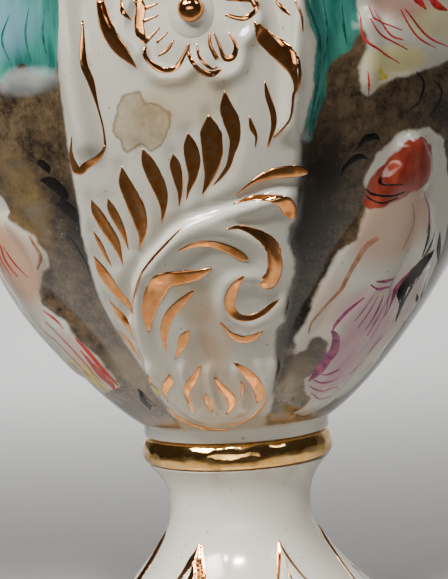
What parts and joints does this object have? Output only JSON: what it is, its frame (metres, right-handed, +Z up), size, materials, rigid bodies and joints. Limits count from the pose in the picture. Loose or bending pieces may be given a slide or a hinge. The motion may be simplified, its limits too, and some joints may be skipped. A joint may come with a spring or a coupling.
{
  "type": "porcelain vase",
  "caption": "Tall ovoid porcelain vase with moulded relief, painted and gilded, two scroll handles, and a separate gilt-ringed pedestal foot clamped on by a central bolt.",
  "frame": {"origin": "centre of the flat face that the foot stands on", "axes": "+Z up along the vase's axis, the front panel faces -Y, the handles stand at -Y and +Y"},
  "size_m": [0.193, 0.2074, 0.3383],
  "materials": {
    "porcelain": "glazed white porcelain with painted and gilded relief",
    "foot_porcelain": "glazed white porcelain with gilt-edged leaves",
    "handle_porcelain": "glazed white porcelain with gilded scrolls",
    "rosette_porcelain": "glazed white porcelain with a gilded bead",
    "gilt_brass": "polished, gilded",
    "bolt_steel": "zinc plated, slightly dulled",
    "seal_rubber": "matt black",
    "cork": "fine cork sheet"
  },
  "bodies": {
    "vase": {"vase_bowl": "porcelain", "vase_shoulder": "porcelain", "vase_neck": "porcelain", "pedestal_foot": "foot_porcelain", "collar_ring": "gilt_brass", "lower_gasket": "cork", "upper_gasket": "cork", "tie_bolt": "bolt_steel", "inner_seal": "seal_rubber", "inner_washer": "bolt_steel", "lower_seal": "seal_rubber", "handle_front": "handle_porcelain", "handle_back": "handle_porcelain", "rosette_front": "rosette_porcelain", "rosette_back": "rosette_porcelain"},
    "washers": {"lower_washer": "bolt_steel", "lock_washer": "bolt_steel"},
    "nut": {"clamp_nut": "bolt_steel"}
  },
  "joints": [
    {"name": "washer_drop", "type": "slide", "parent": "vase", "child": "washers", "axis": [0, 0, -1], "range_m": [0, 0.00625]},
    {"name": "nut_turn", "type": "hinge", "parent": "washers", "child": "nut", "pos_m": [0, 0, 0.048], "axis": [0, 0, -1], "range_deg": [0, 1800]}
  ],
  "couplings": [
    {"joint": "nut_turn", "follows": "washer_drop", "rad_per_m": 5026.5}
  ]
}
